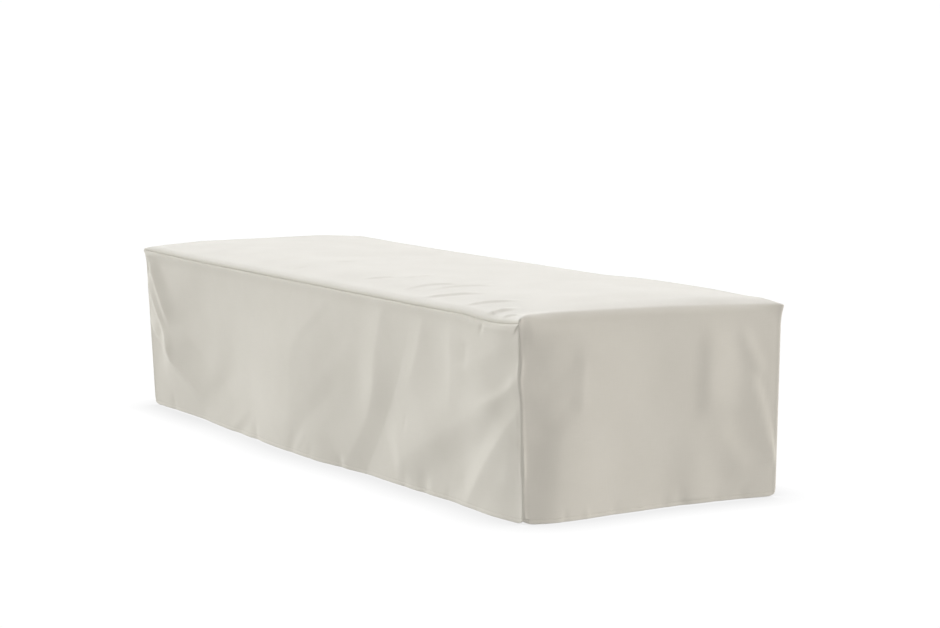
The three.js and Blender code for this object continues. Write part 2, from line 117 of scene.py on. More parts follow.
FOLDS = {
    "front": fold_table(
        ((-840, 400), (-740, 220), (-690, 0), -8, 330, 330, 1.7, (0.35, 0)),
        ((-80, 460), (-83, 230), (-78, -60), 14, 540, 400, 1.3, (0.45, 0.3)),
        ((228, 354), (122, 284), (22, 246), -1.2, 40, 50, 1.6, (0.3, 0.4)),
        ((218, 246), (72, 148), (-138, 0), -1.8, 60, 60, 1.6, (0.25, 0.2)),
        ((105, 110), (92, 50), (84, -30), 5, 120, 130, 1.8, (0.6, 0)),
        ((425, 455), (350, 340), (362, 240), 4, 100, 110, 1.3, (0.15, 0)),
        ((362, 240), (310, 110), (182, 0), 5, 105, 120, 1.3, (0, 0.1)),
        ((540, 430), (465, 205), (288, 0), -3, 120, 90, 1.05, (0.4, 0.05)),
        ((612, 455), (590, 330), (490, 225), 2.5, 80, 60, 1.3, (0.2, 0.5)),
        ((740, 450), (738, 330), (730, 190), 2.5, 65, 90, 1.2, (0.25, 0.3)),
        ((1045, 440), (900, 368), (700, 318), 6, 85, 150, 1.6, (0.3, 0.25)),
        ((1050, 352), (985, 282), (840, 246), 3.5, 60, 28, 1.4, (0.25, 0.4)),
        ((1010, 298), (694, 185), (440, 40), 8, 85, 140, 1.7, (0.2, 0.12)),
        ((1056, 284), (885, 112), (752, -34), 4.5, 60, 56, 1.4, (0.14, 0.1)),
        ((1020, 228), (985, 160), (975, 40), 5, 75, 110, 1.6, (0.25, 0.25)),
        ((-1090, 505), (-1000, 392), (-890, 226), 10, 70, 27, 1.2, (0.3, 0.3)),
        ((-1075, 372), (-962, 276), (-850, 138), 8, 36, 26, 1.2, (0.3, 0.2)),
        ((-1070, 268), (-900, 158), (-620, 42), 13, 110, 32, 1.3, (0.2, 0.5)),
        ((-1060, 410), (-930, 290), (-760, 175), 6, 80, 130, 2, (0.1, 0.3)),
        ((-980, 225), (-770, 120), (-390, -40), 12, 100, 150, 2, (0.2, 0)),
        ((-840, 290), (-800, 190), (-730, 60), 5, 140, 300, 2, (0.5, 0.5)),
        ((-700, 230), (-650, 130), (-590, 30), 6, 150, 400, 2, (0.5, 0.5)),
        ((-540, 150), (-500, 80), (-440, -10), 6, 150, 400, 2, (0.5, 0.2)),
        ((145, 452), (20, 376), (-86, 298), 1.5, 34, 60, 1.6, (0.3, 0.3)),
        ((15, 75), (-10, 50), (-55, 22), 1, 20, 24, 1.6, (0.3, 0.3)),
        ((815, 405), (812, 370), (805, 330), -1.5, 32, 50, 1.3, (0.3, 0.3)),
        ((512, 192), (512, 166), (508, 140), -1.2, 16, 14, 1.3, (0.4, 0.4)),
        ((896, 462), (892, 442), (880, 420), -2.5, 14, 14, 1.3, (0.2, 0.6)),
    ),
    "nearEnd": fold_table(
        ((-205, 450), (-208, 330), (-215, 150), 9, 230, 165, 1.8, (0.3, 0.5)),
        ((-285, 465), (-287, 330), (-285, 150), 8, 260, 100, 1.8, (0.15, 0.5)),
        ((-250, 340), (-264, 150), (-272, 0), 18, 200, 98, 1.9, (0.5, 0)),
        ((-345, 470), (-342, 430), (-330, 380), 3, 60, 26, 1.4, (0.1, 0.6)),
        ((-208, 415), (-262, 335), (-340, 300), -3.4, 44, 50, 1.6, (0.3, 0.3)),
        ((-222, 315), (-275, 240), (-340, 190), -3.4, 44, 50, 1.6, (0.3, 0.3)),
        ((158, 440), (156, 310), (158, 190), 7, 105, 50, 1.6, (0.3, 0.3)),
        ((165, 215), (215, 120), (290, 50), 4, 60, 70, 1.6, (0.3, 0.3)),
        ((235, 425), (278, 365), (315, 290), 4, 30, 45, 1.3, (0.3, 0.3)),
        ((272, 330), (318, 220), (354, 75), 4.5, 18, 90, 1.15, (0.25, 0.1)),
        ((130, 200), (125, 110), (115, 0), 4, 90, 90, 1.6, (0.4, 0.1)),
        ((-208, 400), (-212, 320), (-215, 240), 1.5, 26, 34, 1.3, (0.3, 0.3)),
    ),
    "farEnd": fold_table(
        ((-250, 430), (-150, 260), (-40, 0), 8, 90, 70, 1.3, (0.2, 0)),
        ((300, 400), (230, 220), (180, 0), 9, 80, 110, 1.4, (0.2, 0)),
        ((60, 430), (70, 300), (40, 120), -5, 60, 60, 1.6, (0.3, 0.3)),
    ),
    "back": fold_table(
        ((1040, 420), (930, 260), (740, 0), 8, 120, 70, 1.3, (0.1, 0.1)),
        ((700, 440), (640, 280), (560, 0), 6, 90, 120, 1.5, (0.3, 0.1)),
        ((330, 430), (300, 260), (250, 30), 8, 240, 160, 1.6, (0.3, 0.2)),
        ((-140, 440), (-190, 260), (-300, 0), 7, 150, 110, 1.3, (0.2, 0.1)),
        ((-560, 430), (-620, 240), (-760, 0), 7, 130, 100, 1.4, (0.3, 0.1)),
        ((-1055, 430), (-960, 250), (-800, 60), 6, 40, 130, 1.2, (0.1, 0.3)),
    ),
    "top": fold_table(
        ((-420, -240), (-300, 0), (-330, 220), -3, 160, 160, 1.8, (0.3, 0.3)),
        ((880, -300), (890, 0), (860, 260), 6, 300, 170, 1.7, (0.35, 0.35)),
        ((164, -290), (187, -252), (211, -212), 3.4, 34, 12, 1.4, (0.3, 0.3)),
        ((-180, -330), (-197, -300), (-214, -267), -2.5, 14, 30, 1.4, (0.3, 0.4)),
        ((-240, -170), (-220, -137), (-205, -100), -2.5, 14, 30, 1.4, (0.3, 0.4)),
        ((263, -212), (224, -155), (216, -110), 2.5, 34, 12, 1.4, (0.3, 0.3)),
        ((500, -300), (470, -156), (542, -118), 3.2, 34, 13, 1.4, (0.3, 0.3)),
        ((560, -362), (600, -281), (667, -213), 4.5, 34, 14, 1.4, (0.3, 0.4)),
        ((778, -362), (758, -276), (859, -236), 4.5, 32, 14, 1.4, (0.3, 0.4)),
        ((428, -331), (384, -214), (468, -169), 3.2, 34, 13, 1.4, (0.4, 0.3)),
        ((922, -366), (880, -339), (923, -285), 6.5, 26, 16, 1.4, (0.2, 0.4)),
        ((970, -368), (978, -352), (1008, -336), 5, 16, 13, 1.3, (0.2, 0.3)),
    ),
}

# The fold between the top and an end isn't sewn: it is sharp at the seams and soft between them.
FOLD_OVER = {"at_seam": 3, "midway": 14, "run": 110}
CROWN_RUN = 180  # how far in from the long seams the top's crown rises

# Small puckers of the hem: where along it, how far up they run and lean, and their width.
PUCKER_CREST = 1.6
PUCKER_EASE = 0.7
HEM_PUCKERS = table(
    ("panel", "at", "height", "lean", "rise", "width"),
    ("front", -910, 60, -20, -2.4, 32),
    ("front", -690, 40, -14, -1, 22),
    ("front", -318, 80, -10, -2.4, 40),
    ("front", -85, 70, 45, -2, 32),
    ("front", 20, 60, 40, -1.5, 28),
    ("front", 175, 60, 25, -1.5, 26),
    ("front", 497, 70, 20, -2.8, 38),
    ("front", 592, 80, 20, -3.2, 40),
    ("front", 700, 45, 16, -1, 20),
    ("nearEnd", -255, 42, 2, -1.5, 14),
    ("nearEnd", -191, 40, -4, 1.5, 14),
    ("nearEnd", -111, 40, 5, -1.5, 14),
    ("nearEnd", -31, 38, 0, 1.5, 14),
    ("nearEnd", 33, 45, 4, -1.5, 15),
    ("nearEnd", 89, 70, -14, -3, 24),
    ("nearEnd", 185, 42, -3, -1.5, 15),
    ("nearEnd", 257, 45, 6, -2, 16),
)

# The top's edge over each end stands above the sewn corners. Behind it the top swells to its
# full height.
END_EDGES = table(
    ("end", "rise_front", "rise_back", "run", "swell"),
    ("far", 15, 17, 130, 60),
    ("near", 18.5, 5, 34, 70),
)
EDGE_TILT = 1.15  # its upper side is higher than its face, so that it slopes into the top
END_STRETCH = 150  # how far down an end its cloth is drawn up with that edge
ROLL_POWER = 2.4  # 2 is an ellipse, and more a squarer roll
BULGE_HEIGHT = 8  # how high on that roll it bulges most
SEAM_REACH = 120  # how far in from a seam the cloth still follows it
SEAM_HOLD = 16  # and the width over which folds fade out beside it
SEAM_DECAY = 2.5  # how fast a seam's groove opens beside it
LIP_PEAK = 4  # how far from a seam its lip is highest
LIP_WIDTH = 6  # and how wide it falls away beyond that
LONG_LIP_WIDTH = 18  # the same below the long seams
END_LIP = 0.4  # lip of a corner seam as a share of that of the long seams
HEM_GROOVE = 2  # half width of the groove that the hem's stitches draw
STITCH_PROUD = 0.2  # how far the stitches' line stands off the cloth
CURVE_STEPS = 18  # pieces of a fold's curve

# How closely the mesh is divided. Its fine steps lie beside the hems and the seams.
SIDE_HEIGHT = 463
DIVISIONS = {
    "end_height": {"length": 466, "fine_run": 14, "fine": 1.4, "coarse": 6},
    "above_hem": {"length": SIDE_HEIGHT / 2, "fine_run": 14, "fine": 1.4, "coarse": 5.5},
    "below_seam": {"length": SIDE_HEIGHT / 2, "fine_run": 9, "fine": 1.2, "coarse": 5.5},
    "side_length": {"length": 2136, "fine_run": 9, "fine": 1.2, "coarse": 5.6, "both": True},
}
WIDENING = 4  # over so many coarse steps the fine ones widen
FAR_TOP = {"share": 0.33, "rows": 51}  # the far third of the top, which is smooth
NEAR_TOP = {"rows": 216}
FOLD_ROWS = 11
ROLL_COLUMNS = 12
WRINKLED = {"width": 250, "column": 5.5}  # the front part of the top
SMOOTH_COLUMN = 13
EDGE_POINTS = {"straight": 601, "fold": 41}  # of the band's edge, as a side panel is sewn to it
# The lines of hem stitches: the shares where each starts and ends, and its number of points.
HEM_LINES = {"band": (0.01, 0.99, 200), "side": (0.003, 0.997, 600)}

# The band's stretches, from hem to hem.
STRETCHES = ("farEnd", "farFold", "top", "nearFold", "nearEnd")


def pucker_fold(row):
    """A pucker as a fold that dies out above the hem."""
    at, lean, height = row["at"], row["lean"], row["height"]
    path = ((at + lean, height), (at + lean / 3, height / 2), (at, 0))
    sizes = (row["rise"], row["width"], row["width"], PUCKER_CREST, (PUCKER_EASE, 0))
    return fold_table((*path, *sizes))


for pucker in HEM_PUCKERS:
    FOLDS[pucker["panel"]] += pucker_fold(pucker)


def soften(t):
    t = np.clip(t, 0, 1)
    return t * t * (3 - 2 * t)


def mix(a, b, t):
    return a + (b - a) * t


def bell(distance, plateau):
    return np.clip(1 - np.abs(distance) ** plateau, 0, None) ** 2


def corner(end, side, level):
    found = [c[level] for c in CORNERS if c["end"] == end and c["side"] == side]
    return np.array(found[0], float)


TOP_LENGTH = corner("near", "front", "top")[0] - corner("far", "front", "top")[0]
TOP_WIDTH = corner("near", "back", "top")[1] - corner("near", "front", "top")[1]
SEAM_HEIGHT = corner("near", "front", "top")[2]


def edge_shift(edge, at):
    """How far a seam or hem stands outward and upward at places along it."""
    out = np.zeros_like(at)
    up = np.zeros_like(at)
    for wave in EDGE_WAVES:
        if wave["edge"] == edge:
            share = bell((at - wave["at"]) / wave["reach"], wave["plateau"])
            out += wave["out"] * share
            up += wave["up"] * share
    return out, up


def beside(path, point):
    """How far each point lies from a path, how far along it, and on which side of it."""
    best = np.full(len(point), np.inf)
    travelled = np.zeros(len(point))
    side = np.zeros(len(point))
    for i in range(CURVE_STEPS):
        step = path[i + 1] - path[i]
        offset = point - path[i]
        t = np.clip(offset @ step / (step @ step), 0, 1)
        distance = np.linalg.norm(offset - t[:, None] * step, axis=1)
        closer = distance < best
        best = np.where(closer, distance, best)
        travelled = np.where(closer, (i + t) / CURVE_STEPS, travelled)
        turned = step[0] * offset[:, 1] - step[1] * offset[:, 0]
        side = np.where(closer, turned, side)
    return best, travelled, side


def fold_rise(panel, u, v):
    """How far the folds of a panel stand out of it."""
    u, v = np.broadcast_arrays(u, v)
    point = np.stack([u.ravel(), v.ravel()], 1)
    total = np.zeros(len(point))
    steps = np.linspace(0, 1, CURVE_STEPS + 1)[:, None]
    for fold in FOLDS[panel]:
        a, b, c = (np.array(fold[key], float) for key in ("start", "middle", "end"))
        path = (1 - steps) ** 2 * a + 2 * steps * (1 - steps) * b + steps**2 * c
        reach = max(fold["left"], fold["right"])
        near = ((point > path.min(0) - reach) & (point < path.max(0) + reach)).all(1)
        distance, travelled, side = beside(path, point[near])
        width = np.where(side > 0, fold["left"], fold["right"])
        rise = fold["rise"] * bell(distance / width, fold["crest"])
        for ease, passed in zip(fold["ease"], (travelled, 1 - travelled)):
            if ease:
                rise = rise * soften(passed / ease)
        total[near] += rise
    return total.reshape(u.shape)


def stacked(x, y, z):
    return np.stack(np.broadcast_arrays(x, y, z), -1).astype(float)


def strip(stretch, share, across):
    """The plain strip that the band is cut as, and the way that faces out of it."""
    level = {}
    for end, sign in (("far", -1), ("near", 1)):
        for height in ("top", "hem"):
            a = corner(end, "front", height)
            b = corner(end, "back", height)
            line = a + (b - a) * across[..., None]
            out, up = edge_shift(end + height.title(), line[..., 1])
            level[end, height] = line + stacked(sign * out, 0, up)
    from_seam = np.minimum(across, 1 - across) * TOP_WIDTH
    radius = mix(FOLD_OVER["at_seam"], FOLD_OVER["midway"], soften(from_seam / FOLD_OVER["run"]))
    turn = share * math.pi / 2
    one = np.ones_like(share * across)
    places = []
    outs = []
    for name in STRETCHES:
        end = "far" if name.startswith("far") else "near"
        sign = -1 if end == "far" else 1
        top = level[end, "top"]
        hem = level[end, "hem"]
        if name.endswith("End"):
            below = top - stacked(0, 0, radius)
            t = share if end == "far" else 1 - share
            places.append(hem + (below - hem) * t[..., None])
            outs.append(stacked(sign * one, 0, 0))
        elif name.endswith("Fold"):
            bend = turn if end == "far" else math.pi / 2 - turn
            out = stacked(sign * np.cos(bend), 0, np.sin(bend))
            centre = top - stacked(sign * radius, 0, radius)
            places.append(centre + out * radius[..., None])
            outs.append(out)
        else:
            a = level["far", "top"] + stacked(radius, 0, 0)
            b = level["near", "top"] - stacked(radius, 0, 0)
            places.append(a + (b - a) * share[..., None])
            outs.append(stacked(0, 0, one))
    pick = stretch[..., None]
    return np.choose(pick, places), np.choose(pick, outs), from_seam


def ears(place):
    """How the cloth is drawn at its corners."""
    push = np.zeros_like(place)
    for row in CORNERS:
        for tip in TIPS:
            at = np.array(row[tip["height"]])
            way = np.array([np.sign(at[0]) * tip["along"], np.sign(at[1]) * tip["across"], tip["up"]])
            distance = np.linalg.norm(place - at, axis=-1)
            push += (np.clip(1 - distance / tip["reach"], 0, 1) ** 2)[..., None] * way
    return push


def seam_share(seam, what, at):
    """Share of the usual depth or lip, at places along a seam."""
    share = np.ones_like(at)
    for row in SEAM_CHANGES:
        if row["seam"] == seam:
            share += (row[what] - 1) * bell((at - row["at"]) / row["reach"], CHANGE_PLATEAU)
    return share


def seam_depth(cut, seam, at):
    """How deep the stitching draws the cloth in, at places along a seam."""
    return cut.seam_depth / MM / math.sqrt(2) * seam_share(seam, "depth", at)


def seam_lip(cut, from_seam, outer_width):
    """Ridge beside a seam, steep towards it and drawn out away from it."""
    width = np.where(from_seam < LIP_PEAK, LIP_PEAK / 2, outer_width)
    return cut.lip_rise / MM * np.exp(-(((from_seam - LIP_PEAK) / width) ** 2))


def end_edge_rise(row, across, from_seam):
    """How far the top's edge over an end stands above the line between its sewn corners."""
    inward = np.clip(from_seam / row["run"], 0, 1)
    full = mix(row["rise_front"], row["rise_back"], across**3)
    return full * np.sqrt(1 - (1 - inward) ** 2)


def top_lift(cut, stretch, share, across, from_seam):
    """How far the roll and the crown raise the cloth."""
    inward = np.clip(from_seam / (cut.top_roll_run / MM), 0, 1)
    roll = cut.top_roll_rise / MM * (1 - (1 - inward) ** ROLL_POWER) ** (1 / ROLL_POWER)
    crown = cut.crown_rise / MM * soften(from_seam / CROWN_RUN)
    name = np.array(STRETCHES)[stretch]
    lift = np.zeros(share.shape)
    for row, here in zip(END_EDGES, (share, 1 - share)):
        end = row["end"]
        rise = end_edge_rise(row, across, from_seam)
        swell = 1 - (1 - np.clip(here * TOP_LENGTH / row["swell"], 0, 1)) ** 2
        mine = (name == "top") & ((share < 0.5) == (end == "far"))
        lift = np.where(mine, mix(rise * EDGE_TILT, roll + crown, swell), lift)
        tilt = mix(EDGE_TILT, 1, np.cos(here * math.pi / 2))
        lift = np.where(name == end + "Fold", rise * tilt, lift)
        drawn = 1 - soften((1 - here) * SEAM_HEIGHT / END_STRETCH)
        lift = np.where(name == end + "End", rise * drawn, lift)
    return lift


def follow_seams(place, level, from_seam, front, near_end):
    """How the cloth of the band is pushed where its seams and its near front corner wave."""
    follow = 1 - soften(from_seam / SEAM_REACH)
    outward = np.where(front, -1.0, 1.0)
    for side, mine in (("front", front), ("back", ~front)):
        wave_out, wave_up = edge_shift(side + "Seam", place[..., 0])
        held = follow * mine * level
        push = wave_out * held
        if side == "front":
            corner_out, _ = edge_shift("nearFrontCorner", place[..., 2])
            push = push + corner_out * (follow * mine * near_end)
        place = place + stacked(0, outward * push, wave_up * held)
    return place


def band_surface(cut, rows, columns, plain=False, corner_waves=True):
    """Outer face of the band at rows of (stretch, share) and columns across it."""
    stretch = np.broadcast_to(rows[0][:, None], (len(rows[0]), len(columns)))
    share = np.broadcast_to(rows[1][:, None], stretch.shape)
    across = np.broadcast_to(columns[None, :], stretch.shape)
    place, out, from_seam = strip(stretch, share, across)
    level = out[..., 2]
    front = across < 0.5
    near_end = stretch == STRETCHES.index("nearEnd")
    place = follow_seams(place, level, from_seam, front, near_end * corner_waves)
    inward = np.clip(from_seam / (cut.end_roll_run / MM), 0, 1)
    proud = cut.end_roll_rise / MM * np.sqrt(1 - (1 - inward) ** 2) * (1 - level)
    lift = top_lift(cut, stretch, share, across, from_seam)
    x, y, z = place[..., 0], place[..., 1], place[..., 2]
    ends = np.where(x < 0, fold_rise("farEnd", y, z), fold_rise("nearEnd", y, z))
    folds = fold_rise("top", x, y) * level + ends * (1 - level)
    folds = folds * soften(from_seam / SEAM_HOLD)
    if not plain:
        side_out = stacked(0, np.where(front, -1.0, 1.0), 0)
        distance = np.hypot(from_seam, lift * level + proud)
        near_front = front & near_end
        depth = seam_depth(cut, "back", x)
        depth = np.where(front, seam_depth(cut, "front", x) * level + depth * (1 - level), depth)
        depth = np.where(near_front, seam_depth(cut, "nearFront", z), depth)
        dip = -depth * np.exp(-distance / SEAM_DECAY)
        place = place + ears(place) + dip[..., None] * (side_out + out)
        lip = seam_lip(cut, from_seam, LIP_WIDTH) * (1 - level)
        proud = proud + lip * np.where(near_front, seam_share("nearFront", "lip", z), END_LIP)
        place = place + (roll_bulge(cut, lift) * level)[..., None] * side_out
        from_hem = hem_distance(stretch, share)
        folds = folds + hem_profile(cut, from_hem)
    return place + out * (proud + folds)[..., None] + stacked(0, 0, lift)


def roll_bulge(cut, lift):
    """The rolled edge of the top bulges out a little over the seam."""
    return cut.roll_bulge / MM * bell((lift - BULGE_HEIGHT) / BULGE_HEIGHT, 2)


def hem_distance(stretch, share):
    """Millimetres up from the hem, along the ends."""
    far = np.where(stretch == STRETCHES.index("farEnd"), share, 1)
    near = np.where(stretch == STRETCHES.index("nearEnd"), 1 - share, 1)
    return np.minimum(far, near) * SEAM_HEIGHT


def hem_profile(cut, from_hem):
    """The turned-up hem swells below its line of stitches, which draws it in."""
    depth = cut.hem_depth / MM
    swell = cut.hem_swell / MM * bell((from_hem - depth / 2) / (depth / 2), 2)
    dip = cut.hem_draw / MM * np.exp(-(((from_hem - depth) / HEM_GROOVE) ** 2))
    return swell - dip


def graded(length, fine_run, fine, coarse, both=False):
    """Shares of a length, close together beside its start, or beside both of its ends."""
    distances = [0.0]
    limit = length / 2 if both else length
    while distances[-1] < limit:
        step = fine if distances[-1] < fine_run else coarse
        ramp = (distances[-1] - fine_run) / (WIDENING * coarse)
        distances.append(distances[-1] + mix(fine, step, min(max(ramp, 0), 1)))
    shares = np.array(distances) / distances[-1]
    if both:
        return np.concatenate([shares, 2 - shares[::-1][1:]]) / 2
    return shares


def band_rows():
    """The stretch and the share of each row along the band."""
    end = graded(**DIVISIONS["end_height"])
    fold = np.linspace(0, 1, FOLD_ROWS)
    far_top = np.linspace(0, FAR_TOP["share"], FAR_TOP["rows"])
    near_top = np.linspace(FAR_TOP["share"], 1, NEAR_TOP["rows"])
    top = np.concatenate([far_top, near_top[1:]])
    parts = [end, fold[1:], top[1:], fold[1:], (1 - end[::-1])[1:]]
    stretch = np.concatenate([np.full(len(part), i) for i, part in enumerate(parts)])
    return stretch, np.concatenate(parts)


def spaced(start, end, step):
    return np.linspace(start, end, round((end - start) / step) + 1)


def band_columns(cut):
    """The share across the band of each column: close on the rolls and on the wrinkled part."""
    run = cut.top_roll_run / MM
    roll = run * (1 - np.cos(np.linspace(0, math.pi / 2, ROLL_COLUMNS)))
    wrinkled = spaced(run, WRINKLED["width"], WRINKLED["column"])
    smooth = spaced(WRINKLED["width"], TOP_WIDTH - run, SMOOTH_COLUMN)
    return np.concatenate([roll, wrinkled[1:], smooth[1:], TOP_WIDTH - roll[::-1][1:]]) / TOP_WIDTH


def measured(points):
    """Shares of the whole length at each point of a line, and that length."""
    steps = np.linalg.norm(np.diff(points, axis=0), axis=1)
    sums = np.concatenate([[0], np.cumsum(steps)])
    return sums / sums[-1], sums[-1]


def along(points, shares):
    at, _ = measured(points)
    return np.stack([np.interp(shares, at, points[:, k]) for k in range(3)], -1)


def band_edges(cut, side):
    """The band's edge beside a side panel: up the far end, up the near end, along the top."""
    straight = np.linspace(0, 1, EDGE_POINTS["straight"])
    fold = np.linspace(0, 1, EDGE_POINTS["fold"])
    half = len(fold) // 2
    column = np.array([0.0 if side == "front" else 1.0])

    def edge(name, share):
        rows = (np.full(len(share), STRETCHES.index(name)), share)
        return band_surface(cut, rows, column, plain=True, corner_waves=False)[:, 0]

    up_far_fold = edge("farFold", fold)
    down_near_fold = edge("nearFold", fold)
    far = [edge("farEnd", straight), up_far_fold[1 : half + 1]]
    near = [edge("nearEnd", 1 - straight), edge("nearFold", 1 - fold)[1 : half + 1]]
    top = [up_far_fold[half:], edge("top", straight)[1:], down_near_fold[1 : half + 1]]
    return np.concatenate(far), np.concatenate(near), np.concatenate(top)


def hung_between(edges, side, up, across):
    """The plain cloth of a side panel, between the band's edge and its own waving hem."""
    far, near, top = edges
    outward = -1 if side == "front" else 1
    s = across[None, :, None]
    t = up[:, None, None]
    low = far[0] + (near[0] - far[0]) * across[:, None]
    wave_out, wave_up = edge_shift(side + "Hem", low[:, 0])
    hem = (low + stacked(0, outward * wave_out, wave_up))[None]
    seam = along(top, across)[None]
    far_line = along(far, up)[:, None]
    near_line = along(near, up)[:, None]
    upright = hem + (seam - hem) * t
    level = far_line + (near_line - far_line) * s
    above = far[-1] + (near[-1] - far[-1]) * s
    return upright + level - (low + (above - low) * t)


def side_lip(cut, side, z, from_top, from_end, near_half):
    """Ridge of a side panel beside its seams."""
    share = np.full(z.shape, END_LIP)
    if side == "front":
        share = np.where(near_half, seam_share("nearFront", "lip", z) * END_LIP, share)
    below_top = seam_lip(cut, from_top, LONG_LIP_WIDTH)
    beside_end = seam_lip(cut, from_end, LIP_WIDTH) * share
    return np.where(from_top < from_end, below_top, beside_end)


def side_dip(cut, side, place, from_top, from_end, near_half):
    """How the stitching draws a side panel in beside its seams."""
    outward = -1 if side == "front" else 1
    end_depth = seam_depth(cut, "back", place[..., 2])
    if side == "front":
        end_depth = np.where(near_half, seam_depth(cut, "nearFront", place[..., 2]), end_depth)
    top_dip = -seam_depth(cut, side, place[..., 0]) * np.exp(-from_top / SEAM_DECAY)
    end_dip = -end_depth * np.exp(-from_end / SEAM_DECAY)
    dip_top = top_dip[..., None] * stacked(0, outward, 1)
    dip_end = end_dip[..., None] * stacked(np.where(near_half, 1.0, -1.0), outward, 0)
    return np.where((from_top < from_end)[..., None], dip_top, dip_end)


def side_surface(cut, side, up, across):
    """Outer face of a side panel at shares of its height and of its length."""
    edges = band_edges(cut, side)
    place = hung_between(edges, side, up, across)
    height = measured(edges[0])[1]
    length = measured(edges[2])[1]
    from_end = np.minimum(across, 1 - across)[None, :] * length
    from_top = (1 - up)[:, None] * height
    near_half = (across >= 0.5)[None, :]
    held = soften(np.minimum(from_end, from_top) / SEAM_HOLD)
    folds = fold_rise(side, place[..., 0], place[..., 2]) * held
    folds = folds + hem_profile(cut, up[:, None] * height)
    if side == "front":
        wave, _ = edge_shift("nearFrontCorner", place[..., 2])
        near_end = (1 - across)[None, :] * length
        folds = folds + wave * (1 - soften(near_end / SEAM_REACH))
    folds = folds + side_lip(cut, side, place[..., 2], from_top, from_end, near_half)
    dip = side_dip(cut, side, place, from_top, from_end, near_half)
    side_out = stacked(0, -1 if side == "front" else 1, 0)
    return place + ears(place) + dip + side_out * folds[..., None]


def side_shares():
    """Shares up and along a side panel."""
    up_from_hem = graded(**DIVISIONS["above_hem"])
    down_from_seam = graded(**DIVISIONS["below_seam"])
    up = np.concatenate([up_from_hem / 2, (2 - down_from_seam[::-1][1:]) / 2])
    return up, graded(**DIVISIONS["side_length"])


def add_object(name, data):
    made = bpy.data.objects.new(name, data)
    bpy.context.scene.collection.objects.link(made)
    return made


def inward_offsets(outer, flip, thickness):
    """The way from each point of the outer face to the inner one."""
    up = np.gradient(outer, axis=0)
    across = np.gradient(outer, axis=1)
    normal = np.cross(across, up)
    normal /= np.linalg.norm(normal, axis=-1, keepdims=True)
    return normal * (thickness if flip else -thickness)


def sheet_faces(rows, columns, flip):
    """The quads of a closed sheet: its outer and inner face and its four edges."""
    index = np.arange(rows * columns).reshape(rows, columns)
    back = index + rows * columns

    def quads(a, b, c, d):
        return np.stack([a, b, c, d], -1).reshape(-1, 4)

    faces = [
        quads(index[:-1, :-1], index[:-1, 1:], index[1:, 1:], index[1:, :-1]),
        quads(back[:-1, :-1], back[1:, :-1], back[1:, 1:], back[:-1, 1:]),
        quads(back[0, :-1], back[0, 1:], index[0, 1:], index[0, :-1]),
        quads(index[-1, :-1], index[-1, 1:], back[-1, 1:], back[-1, :-1]),
        quads(index[:-1, 0], index[1:, 0], back[1:, 0], back[:-1, 0]),
        quads(back[:-1, -1], back[1:, -1], index[1:, -1], index[:-1, -1]),
    ]
    faces = np.concatenate(faces)
    return faces[:, ::-1] if flip else faces


def lay_weave(mesh, outer, faces):
    """Lays the weave along the cloth, over its folds, in metres."""
    rows, columns = outer.shape[:2]
    long_share, length = measured(outer[:, columns // 2])
    cross_share, width = measured(outer[rows // 2])
    ways = np.broadcast_arrays((long_share * length)[:, None], (cross_share * width)[None, :])
    cloth_way = np.tile(np.stack(ways, -1).reshape(-1, 2), (2, 1)) * MM
    layer = mesh.uv_layers.new(name="cloth")
    layer.data.foreach_set("uv", cloth_way[faces.ravel()].astype(np.float32).ravel())


def cloth_mesh(name, outer, flip, cut, material):
    """A closed sheet of cloth with an outer and an inner face."""
    inner = outer + inward_offsets(outer, flip, cut.cloth_thickness / MM)
    points = np.concatenate([outer.reshape(-1, 3), inner.reshape(-1, 3)]) * MM
    faces = sheet_faces(*outer.shape[:2], flip)
    mesh = bpy.data.meshes.new(name)
    mesh.vertices.add(len(points))
    mesh.vertices.foreach_set("co", points.astype(np.float32).ravel())
    mesh.loops.add(faces.size)
    mesh.loops.foreach_set("vertex_index", faces.astype(np.int32).ravel())
    mesh.polygons.add(len(faces))
    mesh.polygons.foreach_set("loop_start", np.arange(0, faces.size, 4, dtype=np.int32))
    mesh.update(calc_edges=True)
    mesh.polygons.foreach_set("use_smooth", np.ones(len(faces), bool))
    lay_weave(mesh, outer, faces)
    mesh.materials.append(material)
    return add_object(name, mesh)


class Value:
    """One output of a node. Arithmetic on it adds Math nodes to its tree."""

    def __init__(self, tree, socket):
        self.tree = tree
        self.socket = socket

    def math(self, operation, *values):
        inputs = dict(enumerate(values or (self,)))
        return self.tree.node("ShaderNodeMath", {"operation": operation}, inputs)

    def __add__(self, other):
        return self.math("ADD", self, other)

    def __radd__(self, other):
        return self.math("ADD", other, self)

    def __sub__(self, other):
        return self.math("SUBTRACT", self, other)

    def __rsub__(self, other):
        return self.math("SUBTRACT", other, self)

    def __mul__(self, other):
        return self.math("MULTIPLY", self, other)

    def __rmul__(self, other):
        return self.math("MULTIPLY", other, self)


class Tree:
    """Adds nodes to a shader's or a geometry's node tree."""

    def __init__(self, node_tree):
        self.made = node_tree
        self.made.nodes.clear()

    def node(self, kind, settings=None, inputs=None, output=0):
        made = self.made.nodes.new(kind)
        for name, value in (settings or {}).items():
            setattr(made, name, value)
        for key, value in (inputs or {}).items():
            if isinstance(value, Value):
                self.made.links.new(value.socket, made.inputs[key])
            else:
                made.inputs[key].default_value = value
        return Value(self, made.outputs[output]) if made.outputs else made

    def other_output(self, value, name):
        return Value(self, value.socket.node.outputs[name])

    def blend(self, share, first, second):
        """A colour between two."""
        colours = {0: share, 6: (*first, 1.0), 7: (*second, 1.0)}
        return self.node("ShaderNodeMix", {"data_type": "RGBA"}, colours, output=2)


def new_material(name):
    material = bpy.data.materials.new(name)
    material.use_nodes = True
    return material, Tree(material.node_tree)


